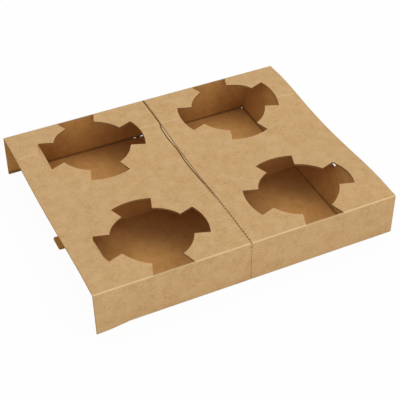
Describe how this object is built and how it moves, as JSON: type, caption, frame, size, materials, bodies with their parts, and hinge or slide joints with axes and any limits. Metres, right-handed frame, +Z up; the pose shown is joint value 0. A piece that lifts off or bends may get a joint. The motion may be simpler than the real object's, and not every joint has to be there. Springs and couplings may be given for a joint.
{
  "type": "cup carrier",
  "caption": "Low takeaway cup carrier folded and glued from one kraft corrugated sheet, with lobed cup holes, a divider underneath and a perforated tear line.",
  "frame": {"origin": "on the table, under the middle of the carrier", "axes": "X along the carrier, across the tear line; Y from the front wall to the back wall; +Z up"},
  "size_m": [0.278, 0.226, 0.0455],
  "materials": {
    "kraft_board": "matte"
  },
  "bodies": {
    "root": {"carrier_sheet": "kraft_board"}
  },
  "joints": []
}
